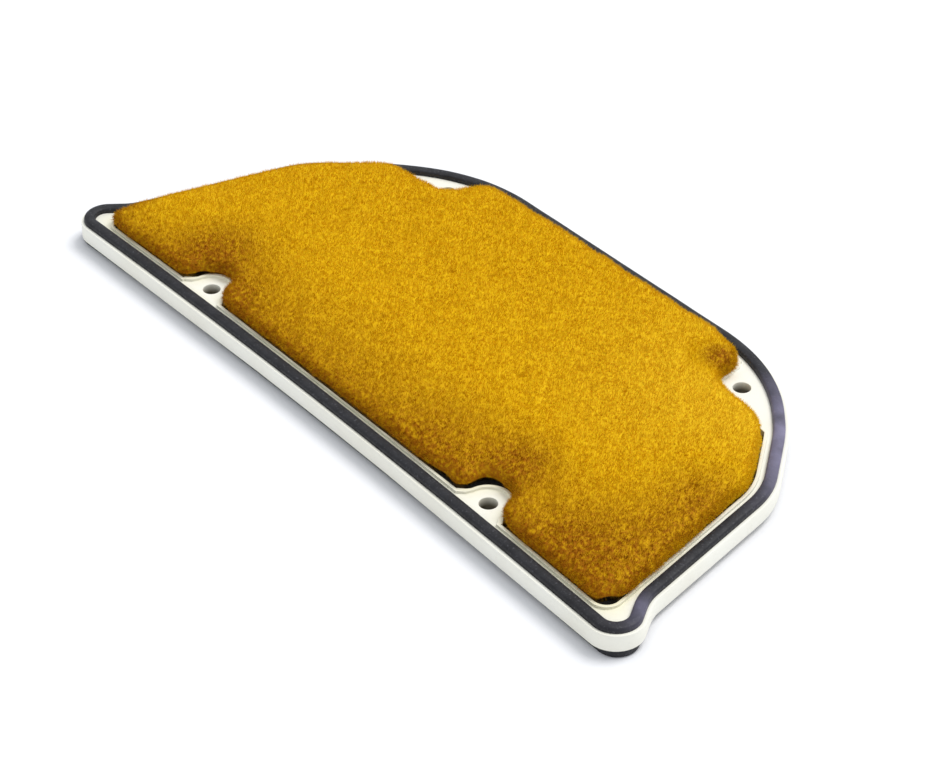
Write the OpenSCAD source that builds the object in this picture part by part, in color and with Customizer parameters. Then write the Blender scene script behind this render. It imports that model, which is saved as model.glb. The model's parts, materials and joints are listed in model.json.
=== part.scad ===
// Panel air filter element for a motorcycle airbox, as separate pieces.
// A two-shell moulded frame carries a seal on each face and four plain screw lugs, and holds a
// thick fibre pad on a wire screen.
// X runs along the long front edge, +Y towards the back edge, +Z towards the dirty side.
// The origin lies under the middle of the frame, in the plane that the lower seal rests on.
// Plan positions are measured from the centre plane and from the front run of the upper seal's
// centre line. "Moved by s" means that an edge of that centre line is moved outwards by s.

/* [Outline] */
// Half length of the front edge, to the sharp corner of the lobe
lobe_x = 147.9; // [147:0.1:149]
// Rounding of the lobe corner
lobe_r = 6.2; // [5.6:0.1:6.6]
// How far the front edge bows inwards at its middle
front_bow = 2.8; // [1.5:0.1:3.5]
// Distance of the neck behind the lobe from the centre plane
neck_x = 135.4; // [134.5:0.1:136.5]
// Distance of the neck from the front edge
neck_y = 17.8; // [17:0.1:19]
// Rounding of the neck
neck_r = 19.7; // [15:0.1:20]
// Distance of the shoulder from the centre plane
shoulder_x = 121.4; // [120:0.1:123]
// Distance of the shoulder from the front edge
shoulder_y = 80.6; // [79:0.1:82]
// Rounding of the shoulder
shoulder_r = 34; // [24:1:44]
// Distance of the hip from the centre plane
hip_x = 101.5; // [101:0.1:102.5]
// Distance of the hip from the front edge
hip_y = 104.6; // [104:0.1:105]
// Rounding of the hip
hip_r = 59.8; // [50:0.1:61]
// Half length of the back edge, to its sharp corner
back_x = 75.9; // [75:0.1:76.5]
// Distance of the back edge from the front edge
seal_depth = 126.6; // [126:0.1:127.5]
// Rounding of the back corner
back_r = 66; // [60:0.1:74]

/* [Frame] */
// Height of the outer wall
wall_h = 5.8; // [5.6:0.1:7]
// Thickness of the deck that carries the upper seal
deck_t = 3; // [2.8:0.1:3.2]
// Width of the outer lip beside the upper seal
outer_lip_w = 1.1; // [1:0.1:1.5]
// Thickness of the skirt below the deck
skirt_t = 1.8; // [1.5:0.1:2]
// Distance of the opening's edge from the seal's centre line
opening_inset = 4.6; // [4.5:0.1:5]
// Rounding of the opening's front corners
opening_corner_r = 4.5; // [4:0.1:6]
// Height of the lip round the opening
inner_lip_h = 0.9; // [0.6:0.1:1.6]
// Thickness of the lip round the opening
inner_lip_t = 1.1; // [0.8:0.1:1.2]

/* [Screw lugs] */
// Distance of three of the screw holes from the centre plane
screw_x = 76.4; // [75:0.1:78]
// Distance of the front right hole from the centre plane, which lets the part fit one way only
keyed_screw_x = 72.7; // [71:0.1:74]
// Distance of the front holes from the front edge
front_screw_y = 10.5; // [10:0.1:11]
// Distance of the back holes from the front edge
back_screw_y = 111.9; // [111:0.1:112.5]
// Radius of a screw hole
screw_hole_r = 3; // [2.5:0.1:3.4]
// Outer radius of a lug
lug_r = 8.2; // [7.8:0.1:8.6]

/* [Seals] */
// Width of each seal
seal_w = 3.9; // [3.6:0.1:4]
// How far the upper seal stands proud of the deck
seal_proud = 2; // [1.9:0.1:2.4]
// Depth of the groove that holds the upper seal
groove_d = 1; // [0.6:0.1:1.4]
// Thickness of the lower seal
lower_seal_t = 2.5; // [2.2:0.1:2.8]

/* [Filter pad] */
// Height of the pad's rim above the deck
pad_rim_h = 5.4; // [4:0.1:6]
// Height of the pad's middle above the deck
pad_crown_h = 8.6; // [7:0.1:10]
// Gap between the pad and the edge of the opening
pad_gap = 1.2; // [0.8:0.1:1.4]
// Gap between the pad and a lug
lug_gap = 1.8; // [1:0.1:2.2]

/* [Support grid] */
// Number of spaces between the cross ribs
rib_bays = 10; // [6:2:12]
// Width of a rib
rib_w = 2; // [1.6:0.1:2.6]
// Distance of each long rib from the middle of the frame
long_rib_y = 21; // [15:1:30]

/* [Hidden] */

frame_colour = "#E8E6DA";
rib_shell_colour = "#E2E0D3";
seal_colour = "#2E2E36";
pad_colour = "#D9A312";
felt_colour = "#C8942A";
scrim_colour = "#E0D6B8";
sealant_colour = "#40301F";
steel_colour = "#A9ABAD";

// Heights of the faces that pieces share, from the lower seal's foot
underside_z = lower_seal_t;
deck_top_z = underside_z + wall_h;
deck_low_z = deck_top_z - deck_t;
shell_t = 2;
screen_t = 0.6;
screen_low_z = underside_z + shell_t;
screen_top_z = screen_low_z + screen_t;
scrim_t = 0.6;
felt_low_z = screen_top_z + scrim_t;
felt_rise = 0.4;
felt_top_z = deck_top_z + felt_rise;
sealant_h = 1.4;

// Distances that edges are moved by
wall_move = seal_w / 2 + outer_lip_w;
skirt_move = wall_move - skirt_t;
shell_clearance = 0.1;
shell_move = skirt_move - shell_clearance;
shell_rim_t = 1.7;
shell_inner_inset = 2.4;
screen_tuck = 1;
screen_boss_gap = 0.3;
lower_lobe_tightening = 1.1;

// A lug's foot widens and flares towards the frame, over this distance from the screw hole
front_foot_reach = 3.4;
back_foot_reach = 7.6;
lug_foot_w = 0.8;
lug_flare = 2;
boss_r = 6.4;
boss_hole_r = 3.5;
// The web that joins a back lug to the frame's hip leaves the lug at this angle, for this length,
// and its plan closes at this point on the frame's side
web_angle = -8.6;
web_len = 32;
web_back = [36, 12];

// Points along each crowned face of the pad
crown_steps = 24;

// Points along an arc are no further apart than this angle and this chord
arc_step = 4;
arc_chord = 14;
smallest_r = 1;
circle_fn = 64;
// Cuts run past the faces that they open by this much
cut = 1;

// The front edge is one wide arc over this share of its length, with straight ends
bow_share = 0.8;
bow_corner_y = front_bow / (1 - bow_share / 2);
bow_r = bow_share * lobe_x * lobe_x / bow_corner_y;

// Unit vector along v
function unit(v) = v / norm(v);

// Normal of the edge from a to b that points out of a loop drawn anticlockwise
function outward(a, b) = let (d = unit(b - a)) [d[1], -d[0]];

// Corner at p of edges with normals m and n, once they have moved out by s and t
function moved_corner(p, m, n, s, t) =
    p + [s * n[1] - t * m[1], t * m[0] - s * n[0]] / cross(m, n);

// Centre of the arc of radius r that rounds corner p between its neighbours a and b
function arc_centre(p, a, b, r) =
    let (
        u = unit(a - p),
        v = unit(b - p)
    )
    p + unit(u + v) * r / sqrt((1 - u * v) / 2);

// Vector v turned by an angle
function turned(v, angle) =
    [v[0] * cos(angle) - v[1] * sin(angle), v[0] * sin(angle) + v[1] * cos(angle)];

// Points along the arc of radius r that rounds corner p between its neighbours a and b
function arc_points(p, a, b, r) =
    let (
        u = unit(a - p),
        v = unit(b - p),
        reach = r * sqrt((1 + u * v) / (1 - u * v)),
        centre = arc_centre(p, a, b, r),
        first = p + u * reach - centre,
        last = p + v * reach - centre,
        turn = atan2(cross(first, last), first * last),
        chords = abs(turn) * PI / 180 * r / arc_chord,
        steps = ceil(max(abs(turn) / arc_step, chords))
    )
    [for (k = [0 : steps]) centre + turned(first, turn * k / steps)];

// Corner i of the whole loop, from the corners of its right half
function loop_corner(half, i) =
    i < len(half) ? half[i] : [-half[2 * len(half) - 1 - i][0], half[2 * len(half) - 1 - i][1]];

// Rounding of corner i of the whole loop
function loop_radius(half, i) = i < len(half) ? half[i] : half[2 * len(half) - 1 - i];

// Distance that edge i of the whole loop moves by
function loop_move(half, i) = half[min(i, 2 * len(half) - 2 - i)];

// Closed loop of points: half holds the right half's corners from the middle of the front,
// radii their roundings, and moves the distance that each of its edges is moved out by
function loop(half, radii, moves) =
    let (
        n = 2 * len(half) - 1,
        sharp = [for (i = [0 : n - 1]) loop_corner(half, i)],
        moved = [
            for (i = [0 : n - 1])
                let (
                    before = sharp[(i + n - 1) % n],
                    after = sharp[(i + 1) % n]
                )
                moved_corner(sharp[i], outward(before, sharp[i]), outward(sharp[i], after),
                    loop_move(moves, (i + n - 1) % n), loop_move(moves, i))
        ]
    )
    [
        for (i = [0 : n - 1])
            let (
                before = moved[(i + n - 1) % n],
                after = moved[(i + 1) % n],
                bend = sign(cross(moved[i] - before, after - moved[i])),
                r = max(smallest_r, loop_radius(radii, i) + bend * loop_move(moves, i))
            )
            each arc_points(moved[i], before, after, r)
    ];

// Corners of the seal's centre line on the right half, before the origin is set
plan_corners = [
    [0, bow_corner_y],
    [lobe_x, 0],
    [neck_x, neck_y],
    [shoulder_x, shoulder_y],
    [hip_x, hip_y],
    [back_x, seal_depth],
];
seal_radii = [bow_r, lobe_r, neck_r, shoulder_r, hip_r, back_r];

// The origin is halfway between the front of the lobes and the back wall
lobe_centre = arc_centre(plan_corners[1], plan_corners[0], plan_corners[2], lobe_r);
front_y = lobe_centre[1] - lobe_r - wall_move;
back_y = seal_depth + wall_move;
plan_shift = [0, -(front_y + back_y) / 2];
seal_corners = [for (p = plan_corners) p + plan_shift];

// The opening leaves the lobes out: its front corner is where the front and the flank would meet
front_dir = plan_corners[1] - plan_corners[0];
flank_dir = plan_corners[3] - plan_corners[2];
front_reach = cross(plan_corners[2] - plan_corners[0], flank_dir) / cross(front_dir, flank_dir);
opening_corners = [
    seal_corners[0],
    seal_corners[0] + front_dir * front_reach,
    seal_corners[3],
    seal_corners[4],
    seal_corners[5],
];
opening_radii = [bow_r, opening_corner_r + opening_inset, shoulder_r, hip_r, back_r];

// Loops of points: one round the whole frame, and one along the opening
function frame_loop(s) = loop(seal_corners, seal_radii, [s, s, s, s, s, s]);
function opening_loop(s) =
    let (t = s - opening_inset) loop(opening_corners, opening_radii, [t, t, t, t, t]);

// The lower seal sits just inside the wall along the front, comes out flush with it round each
// lobe's corner, and runs further in along the flanks and the back
lower_seal_moves = [1.7, 1.7, -1.3, -1.3, -1.3, -1.3];
lower_seal_radii = [bow_r, lobe_r - lower_lobe_tightening, neck_r, shoulder_r, hip_r, back_r];
function lower_seal_loop(s) =
    loop(seal_corners, lower_seal_radii, [for (m = lower_seal_moves) m + s]);

// Each screw: its hole's position, and the reach of its lug's foot
screws = [
    [[-screw_x, front_screw_y] + plan_shift, front_foot_reach],
    [[keyed_screw_x, front_screw_y] + plan_shift, front_foot_reach],
    [[screw_x, back_screw_y] + plan_shift, back_foot_reach],
    [[-screw_x, back_screw_y] + plan_shift, back_foot_reach],
];

// Solid between two heights over a loop of points
module plate(points, low_z, high_z) {
    translate([0, 0, low_z])
        linear_extrude(high_z - low_z)
            polygon(points);
}

// Wall between two loops of points
module ring(outer, inner, low_z, high_z) {
    difference() {
        plate(outer, low_z, high_z);
        plate(inner, low_z - cut, high_z + cut);
    }
}

// One lug's plan, grown all round by a distance, with +Y towards the nearest edge of the frame
module lug_plan(foot_reach, grow) {
    waist = lug_r + grow;
    foot = waist + lug_foot_w;
    flare_y = foot_reach - grow;
    circle(waist, $fn = circle_fn);
    polygon([
        [waist, 0],
        [foot, flare_y - lug_flare],
        [foot + lug_flare, flare_y],
        [foot + lug_flare, flare_y + lug_r],
        [-foot - lug_flare, flare_y + lug_r],
        [-foot - lug_flare, flare_y],
        [-foot, flare_y - lug_flare],
        [-waist, 0],
    ]);
}

// Web that carries a back lug across to the hip, along a tangent of the lug
module web_plan(grow) {
    along = [cos(web_angle), sin(web_angle)];
    touch = [along[1], -along[0]] * (lug_r + grow);
    polygon([[0, 0], touch, touch + along * web_len, web_back]);
}

// All four lugs between two heights, kept inside the seal's centre line
module lugs(grow, low_z, high_z) {
    intersection() {
        plate(frame_loop(0), low_z, high_z);
        for (s = screws)
            translate([s[0][0], s[0][1], low_z])
                mirror([s[0][0] < 0 ? 1 : 0, 0, 0])
                    mirror([0, s[0][1] < 0 ? 1 : 0, 0]) {
                        linear_extrude(high_z - low_z)
                            lug_plan(s[1], grow);
                        if (s[0][1] > 0)
                            linear_extrude(high_z - low_z)
                                web_plan(grow);
                    }
    }
}

// Space inside the opening: its edge is moved out by s, and the lugs in it grow by g
module opening_space(s, g, low_z, high_z) {
    difference() {
        plate(opening_loop(s), low_z, high_z);
        lugs(g, low_z - cut, high_z + cut);
    }
}

// Round posts at the screws
module screw_posts(r, low_z, high_z) {
    for (s = screws)
        translate([s[0][0], s[0][1], low_z])
            cylinder(h = high_z - low_z, r = r, $fn = circle_fn);
}

// Upper shell: seal groove, outer wall, lugs and the lip round the opening
module upper_frame() {
    color(frame_colour)
        difference() {
            union() {
                plate(frame_loop(wall_move), deck_low_z, deck_top_z);
                ring(frame_loop(wall_move), frame_loop(skirt_move), underside_z, deck_low_z + cut);
                opening_space(inner_lip_t, -inner_lip_t, screen_top_z, deck_top_z + inner_lip_h);
                lugs(0, screen_top_z, deck_top_z);
            }
            opening_space(0, 0, underside_z, deck_top_z + inner_lip_h + cut);
            ring(frame_loop(seal_w / 2), frame_loop(-seal_w / 2), deck_top_z - groove_d,
                deck_top_z + cut);
            screw_posts(screw_hole_r, underside_z, deck_top_z + cut);
        }
}

// Lower shell: ring, rim that meets the deck, screw bosses and the rib grid under the screen
module lower_frame() {
    bay = 2 * shoulder_x / rib_bays;
    color(rib_shell_colour)
        difference() {
            union() {
                ring(frame_loop(shell_move), opening_loop(-shell_inner_inset), underside_z,
                    screen_low_z);
                ring(frame_loop(shell_move), frame_loop(shell_move - shell_rim_t), underside_z,
                    deck_low_z);
                screw_posts(boss_r, underside_z, screen_top_z);
                intersection() {
                    plate(opening_loop(0), underside_z, screen_low_z);
                    union() {
                        for (i = [1 : rib_bays - 1])
                            translate([i * bay - shoulder_x - rib_w / 2, -seal_depth / 2,
                                underside_z])
                                cube([rib_w, seal_depth, shell_t]);
                        for (y = [-long_rib_y, long_rib_y])
                            translate([-lobe_x, y - rib_w / 2, underside_z])
                                cube([2 * lobe_x, rib_w, shell_t]);
                    }
                }
            }
            screw_posts(boss_hole_r, underside_z - cut, screen_top_z + cut);
        }
}

// Endless seal in the deck's groove
module upper_seal() {
    color(seal_colour)
        ring(frame_loop(seal_w / 2), frame_loop(-seal_w / 2), deck_top_z - groove_d,
            deck_top_z + seal_proud);
}

// Flat endless seal bonded under the lower shell
module lower_seal() {
    color(seal_colour)
        ring(lower_seal_loop(0), lower_seal_loop(-seal_w), 0, underside_z);
}

// Wire cloth clamped between the shells, as a plain sheet with a hole round each boss
module wire_screen() {
    color(steel_colour)
        difference() {
            plate(opening_loop(screen_tuck), screen_low_z, screen_top_z);
            screw_posts(boss_r + screen_boss_gap, screen_low_z - cut, screen_top_z + cut);
        }
}

// Outline of the pad layers between two heights
module pad_layer(low_z, high_z) {
    opening_space(-pad_gap, lug_gap, low_z, high_z);
}

// Bead that seals the pad's edge to the frame
module edge_sealant() {
    color(sealant_colour)
        difference() {
            opening_space(0, 0, screen_top_z, screen_top_z + sealant_h);
            pad_layer(screen_top_z - cut, screen_top_z + sealant_h + cut);
        }
}

// Thin open cloth under the felt
module backing_scrim() {
    color(scrim_colour)
        pad_layer(screen_top_z, felt_low_z);
}

// Dense inner felt
module dense_felt() {
    color(felt_colour)
        pad_layer(felt_low_z, felt_top_z);
}

// Crown over a span from -half to half, as an outline that stands on the felt
function crown_outline(half) =
    let (
        top = deck_top_z + pad_crown_h,
        rise = pad_crown_h - pad_rim_h
    )
    concat(
        [[-half, felt_top_z], [half, felt_top_z]],
        [
            for (i = [crown_steps : -1 : 0])
                let (t = 2 * i / crown_steps - 1)
                [t * half, top - rise * pow(t, 4)]
        ]
    );

// Thick outer fibre layer, crowned both ways
module fibre_pad() {
    color(pad_colour)
        intersection() {
            pad_layer(felt_top_z, deck_top_z + pad_crown_h + cut);
            rotate([90, 0, 0])
                linear_extrude(2 * seal_depth, center = true)
                    polygon(crown_outline(neck_x));
            rotate([90, 0, 90])
                linear_extrude(2 * lobe_x, center = true)
                    polygon(crown_outline(seal_depth / 2));
        }
}

upper_frame();
lower_frame();
upper_seal();
lower_seal();
wire_screen();
edge_sealant();
backing_scrim();
dense_felt();
fibre_pad();
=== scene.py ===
"""Looks of a motorcycle panel air filter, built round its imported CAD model.

Shapes are worked out in millimetres in the CAD frame and written in metres. Hard shells are
rounded copies of the CAD solids, seals are swept profiles, and the filter layers are soft meshes.
"""
import json
import math

import bmesh
import bpy
import numpy as np
from mathutils import Matrix, Vector
from mathutils.kdtree import KDTree


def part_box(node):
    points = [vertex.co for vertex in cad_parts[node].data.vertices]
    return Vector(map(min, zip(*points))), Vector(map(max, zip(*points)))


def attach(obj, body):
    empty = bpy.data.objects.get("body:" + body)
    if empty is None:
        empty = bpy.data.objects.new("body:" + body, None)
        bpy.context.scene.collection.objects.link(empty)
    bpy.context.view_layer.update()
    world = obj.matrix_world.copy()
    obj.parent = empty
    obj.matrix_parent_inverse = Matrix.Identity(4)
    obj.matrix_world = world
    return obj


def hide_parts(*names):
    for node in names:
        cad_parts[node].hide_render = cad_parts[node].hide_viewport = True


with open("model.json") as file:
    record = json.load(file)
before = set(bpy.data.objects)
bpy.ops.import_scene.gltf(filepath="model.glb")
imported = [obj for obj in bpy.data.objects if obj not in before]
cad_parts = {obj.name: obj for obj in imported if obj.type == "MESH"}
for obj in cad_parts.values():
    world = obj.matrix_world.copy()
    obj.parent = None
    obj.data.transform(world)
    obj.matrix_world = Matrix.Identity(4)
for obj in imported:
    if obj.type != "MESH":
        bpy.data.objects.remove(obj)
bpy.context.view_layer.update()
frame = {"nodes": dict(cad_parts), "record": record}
MM = 0.001
rng = np.random.default_rng(11)

# ---------------------------------------------------------------- camera and light

# The point that the camera looks at, and where it stands from there
CAMERA_TARGET = Vector((19.66, -20.15, 8.3)) * MM
CAMERA_AZIMUTH = 51.547
CAMERA_ELEVATION = 35.665
CAMERA_ROLL = 0.07
CAMERA_DISTANCE = 0.8634
CAMERA_LENS = 104.12
# An even sky, and one wide, soft lamp from behind the filter
SKY = (0.93, 0.96, 1.0)
SKY_STRENGTH = 0.80
KEY_STRENGTH = 1.80
KEY_FROM = (0.12, 0.66, 1.20)
KEY_ANGLE = 30.0
KEY_COLOUR = (1.0, 0.98, 0.95)


def look_from(azimuth, elevation):
    """Unit vector from the object towards a viewer at this azimuth and elevation, in degrees."""
    a, e = math.radians(azimuth), math.radians(elevation)
    return Vector((math.sin(a) * math.cos(e), -math.cos(a) * math.cos(e), math.sin(e)))


def add_camera():
    back = look_from(CAMERA_AZIMUTH, CAMERA_ELEVATION)
    data = bpy.data.cameras.new("camera")
    data.lens = CAMERA_LENS
    data.clip_start, data.clip_end = 0.01, 20
    camera = bpy.data.objects.new("camera", data)
    bpy.context.scene.collection.objects.link(camera)
    camera.location = CAMERA_TARGET + back * CAMERA_DISTANCE
    turn = (-back).to_track_quat("-Z", "Y").to_matrix()
    roll = Matrix.Rotation(math.radians(CAMERA_ROLL), 3, "Z")
    camera.rotation_euler = (turn @ roll).to_euler()
    bpy.context.scene.camera = camera


def add_light():
    world = bpy.data.worlds.new("studio")
    world.use_nodes = True
    world.node_tree.nodes["Background"].inputs["Color"].default_value = (*SKY, 1)
    world.node_tree.nodes["Background"].inputs["Strength"].default_value = SKY_STRENGTH
    bpy.context.scene.world = world
    lamp = bpy.data.lights.new("key", "SUN")
    lamp.energy = KEY_STRENGTH
    lamp.angle = math.radians(KEY_ANGLE)
    lamp.color = KEY_COLOUR
    key = bpy.data.objects.new("key", lamp)
    bpy.context.scene.collection.objects.link(key)
    key.rotation_euler = Vector(KEY_FROM).to_track_quat("Z", "Y").to_euler()


# ---------------------------------------------------------------- materials

# Colours painted in by strengths stored on the meshes: the pad's yellow bounce light, shade in
# the screw holes, a sheen on the upper seal, and shade in the gaps beside the pad
PAD_BOUNCE_COLOUR = (0.80, 0.74, 0.44)
HOLE_SHADE_COLOUR = (0.18, 0.155, 0.10)
RUBBER_SHEEN_COLOUR = (0.28, 0.26, 0.40)
GAP_SHADE_COLOUR = (0.010, 0.006, 0.003)


class Nodes:
    """Short calls for building one material's node tree."""

    def __init__(self, name):
        self.material = bpy.data.materials.new(name)
        self.material.use_nodes = True
        self.tree = self.material.node_tree
        self.shader = self.tree.nodes["Principled BSDF"]

    def add(self, kind, settings=(), **inputs):
        node = self.tree.nodes.new("ShaderNode" + kind)
        for key, value in dict(settings).items():
            setattr(node, key, value)
        for key, value in inputs.items():
            self.put(node.inputs[key.replace("_", " ")], value)
        return node

    def put(self, socket, value):
        if isinstance(value, bpy.types.NodeSocket):
            self.tree.links.new(value, socket)
        else:
            socket.default_value = value

    def set(self, **inputs):
        for key, value in inputs.items():
            self.put(self.shader.inputs[key.replace("_", " ")], value)

    def place(self):
        return self.add("TexCoord").outputs["Object"]

    def noise(self, scale, detail=3.0, rough=0.55, vector=None):
        node = self.add("TexNoise", Scale=scale, Detail=detail, Roughness=rough)
        self.put(node.inputs["Vector"], vector or self.place())
        return node.outputs["Fac"]

    def span(self, value, low, high, to_low=0.0, to_high=1.0):
        node = self.add("MapRange")
        for key, number in zip((1, 2, 3, 4), (low, high, to_low, to_high)):
            node.inputs[key].default_value = number
        self.put(node.inputs[0], value)
        return node.outputs[0]

    def mix(self, share, first, second, blend="MIX"):
        node = self.add("Mix", {"data_type": "RGBA", "blend_type": blend})
        self.put(node.inputs[0], share)
        for index, colour in ((6, first), (7, second)):
            is_link = isinstance(colour, bpy.types.NodeSocket)
            self.put(node.inputs[index], colour if is_link else (*colour, 1))
        return node.outputs[2]

    def maths(self, operation, first, second=0.0):
        node = self.add("Math", {"operation": operation})
        self.put(node.inputs[0], first)
        self.put(node.inputs[1], second)
        return node.outputs[0]

    def attribute(self, name):
        node = self.add("Attribute", {"attribute_name": name})
        return node.outputs["Fac"]

    def bump(self, height, distance, strength=1.0):
        node = self.add("Bump", Strength=strength, Distance=distance)
        self.put(node.inputs["Height"], height)
        self.put(self.shader.inputs["Normal"], node.outputs["Normal"])


def plastic(name, clean, aged):
    """Cream plastic: mould texture, uneven ageing, painted yellow bounce light and painted shade,
    from the mesh.
    """
    n = Nodes(name)
    patches = n.span(n.noise(38, 4), 0.35, 0.7)
    specks = n.span(n.noise(900, 2), 0.62, 0.75)
    colour = n.mix(patches, clean, aged)
    colour = n.mix(n.maths("MULTIPLY", specks, 0.16), colour, tuple(c * 0.72 for c in aged))
    # Painted bounce light: the gold pad's yellow light on the deck beside it
    colour = n.mix(n.attribute("pad_bounce"), colour, PAD_BOUNCE_COLOUR)
    # Painted shade: the walls of the screw holes darkened below the deck
    colour = n.mix(n.attribute("hole_shade"), colour, HOLE_SHADE_COLOUR)
    n.set(Base_Color=colour, Roughness=n.span(n.noise(150, 4), 0.3, 0.7, 0.36, 0.52))
    n.set(Specular_IOR_Level=0.45)
    grain = n.maths("ADD", n.noise(2600, 2), n.maths("MULTIPLY", n.noise(260, 2), 1.4))
    n.bump(grain, 0.00005, 0.6)
    return n.material


def rubber(name):
    """Charcoal rubber: matt, slightly mottled, with dust in the grain and a patchy, pale painted
    sheen.
    """
    n = Nodes(name)
    colour = n.mix(n.span(n.noise(240, 4), 0.3, 0.7), (0.008, 0.008, 0.010), (0.020, 0.020, 0.024))
    dust = n.span(n.noise(1300, 2), 0.60, 0.74)
    colour = n.mix(n.maths("MULTIPLY", dust, 0.4), colour, (0.13, 0.13, 0.15))
    # Painted sheen: a pale, patchy highlight where the stored strength says
    painted_sheen = n.maths("MULTIPLY", n.attribute("painted_sheen"), n.span(n.noise(70, 3), 0.25, 0.6))
    colour = n.mix(painted_sheen, colour, RUBBER_SHEEN_COLOUR)
    n.set(Base_Color=colour, Roughness=n.span(n.noise(420, 3), 0.3, 0.7, 0.45, 0.66))
    n.set(Specular_IOR_Level=0.32)
    n.bump(n.noise(900, 4), 0.00022, 0.7)
    return n.material


def steel(name):
    """Bright steel wire with drawn streaks and dull, oily patches."""
    n = Nodes(name)
    colour = n.mix(n.span(n.noise(60, 3), 0.35, 0.65), (0.62, 0.62, 0.61), (0.43, 0.41, 0.37))
    n.set(Base_Color=colour, Metallic=1.0)
    n.set(Roughness=n.span(n.noise(500, 3), 0.3, 0.7, 0.24, 0.44))
    n.bump(n.noise(4000, 2), 0.00002, 0.4)
    return n.material


def cloth(name, light, dark, pitch):
    """Plain weave of fine threads, unevenly oily, with painted gap shade stored on the mesh."""
    n = Nodes(name)
    place = n.place()
    waves = []
    for direction in ("X", "Y"):
        wave = n.add("TexWave", {"bands_direction": direction}, Scale=1 / pitch / 3.14,
                     Distortion=0.6, Detail=1.0)
        n.put(wave.inputs["Vector"], place)
        waves.append(wave.outputs["Fac"])
    weave = n.maths("MAXIMUM", *waves)
    stain = n.span(n.noise(45, 4, vector=place), 0.3, 0.7)
    colour = n.mix(stain, light, dark)
    colour = n.mix(n.span(weave, 0.2, 0.9), tuple(c * 0.45 for c in dark), colour)
    # Painted shade: near black in the gaps between the pad and the frame
    colour = n.mix(n.attribute("gap_shade"), colour, GAP_SHADE_COLOUR)
    n.set(Base_Color=colour, Roughness=n.span(stain, 0, 1, 0.85, 0.62), Sheen_Weight=0.2)
    n.bump(weave, 0.0002, 0.9)
    return n.material


def felt(name, light, dark):
    """Matted fibres with uneven oily soaking, and painted gap shade stored on the mesh."""
    n = Nodes(name)
    stretch = n.add("Mapping", Vector=n.place(), Scale=(1.0, 1.0, 0.35))
    fibres = n.noise(1400, 5, 0.7, stretch.outputs["Vector"])
    colour = n.mix(n.span(fibres, 0.35, 0.65), dark, light)
    soaked = n.span(n.noise(55, 3), 0.4, 0.7)
    colour = n.mix(n.maths("MULTIPLY", soaked, 0.5), colour, dark)
    # Painted shade: near black in the gaps between the pad and the frame
    colour = n.mix(n.attribute("gap_shade"), colour, GAP_SHADE_COLOUR)
    n.set(Base_Color=colour, Roughness=n.span(fibres, 0.3, 0.7, 0.7, 0.95), Sheen_Weight=0.25)
    n.bump(fibres, 0.0004, 0.9)
    return n.material


def sealant(name):
    """Adhesive bead: glossy, rippled and slightly cloudy; its dark brown is partly painted gap
    shade.
    """
    n = Nodes(name)
    cloud = n.span(n.noise(120, 4), 0.3, 0.7)
    # Near black, partly the bead's own brown and partly painted shade for the gaps beside the pad
    n.set(Base_Color=n.mix(cloud, (0.012, 0.007, 0.003), (0.05, 0.03, 0.012)))
    n.set(Roughness=n.span(cloud, 0, 1, 0.22, 0.4), Coat_Weight=0.3)
    n.bump(n.noise(300, 3), 0.0003, 0.7)
    return n.material


def nap(name, light, middle, dark, shaded):
    """Oiled fibre, from the strand, tone and root_to_tip stored on the mesh.

    A tone of -1 is painted light, 0 is plain, 1 is painted shade, and more than 1 is near-black
    painted shade."""
    n = Nodes(name)
    strand = n.attribute("strand")
    colour = n.mix(n.span(strand, 0.15, 0.6), dark, middle)
    colour = n.mix(n.span(strand, 0.86, 0.99), colour, light)
    patches = n.span(n.noise(70, 4), 0.42, 0.68)
    colour = n.mix(n.maths("MULTIPLY", patches, 0.3), colour, dark)
    tone = n.attribute("tone")
    # Painted light where the tone is below 0
    colour = n.mix(n.span(tone, 0.0, -1.0), colour, light)
    blotches = n.span(n.noise(700, 4), 0.36, 0.64, 0.5, 1.5)
    # Painted shade, in blotches, where the tone is above 0
    colour = n.mix(n.maths("MULTIPLY", n.span(tone, 0.0, 1.0), blotches), colour, shaded)
    # Painted shade: tones above 1 go near black in the gaps beside the frame
    colour = n.mix(n.span(tone, 1.0, 1.25), colour, GAP_SHADE_COLOUR)
    root = n.span(n.attribute("root_to_tip"), 0.0, 0.6)
    colour = n.mix(root, tuple(c * 0.85 for c in dark), colour)
    n.set(Base_Color=colour, Roughness=n.span(strand, 0, 1, 0.6, 0.8))
    n.set(Specular_IOR_Level=0.08)
    n.bump(n.noise(3500, 2), 0.0001, 0.5)
    return n.material


CREAM = plastic("cream_plastic", (0.91, 0.90, 0.81), (0.87, 0.85, 0.74))
CREAM_INNER = plastic("cream_plastic_inner", (0.85, 0.83, 0.74), (0.77, 0.74, 0.62))
RUBBER = rubber("charcoal_rubber")
STEEL = steel("steel_wire")
SCRIM = cloth("scrim_weave", (0.62, 0.50, 0.26), (0.50, 0.33, 0.10), 0.0009)
FELT = felt("dense_felt_fibre", (0.50, 0.29, 0.045), (0.24, 0.12, 0.015))
SEALANT = sealant("brown_sealant")
LIGHT_GOLD, GOLD = (0.91, 0.64, 0.028), (0.76, 0.475, 0.0027)
# The last colour here is the nap's painted shade
DARK_GOLD, SHADE_GOLD = (0.69, 0.39, 0.0018), (0.36, 0.125, 0.002)
NAP = nap("gold_nap", LIGHT_GOLD, GOLD, DARK_GOLD, SHADE_GOLD)


# ---------------------------------------------------------------- outlines, as in the CAD

def unit(v):
    return v / np.linalg.norm(v)


def unit_rows(vectors):
    return vectors / np.linalg.norm(vectors, axis=1)[:, None]


def cross(a, b):
    return a[0] * b[1] - a[1] * b[0]


def outward(a, b):
    """Normal of the edge from a to b that points out of a loop drawn anticlockwise."""
    d = unit(b - a)
    return np.array([d[1], -d[0]])


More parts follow.
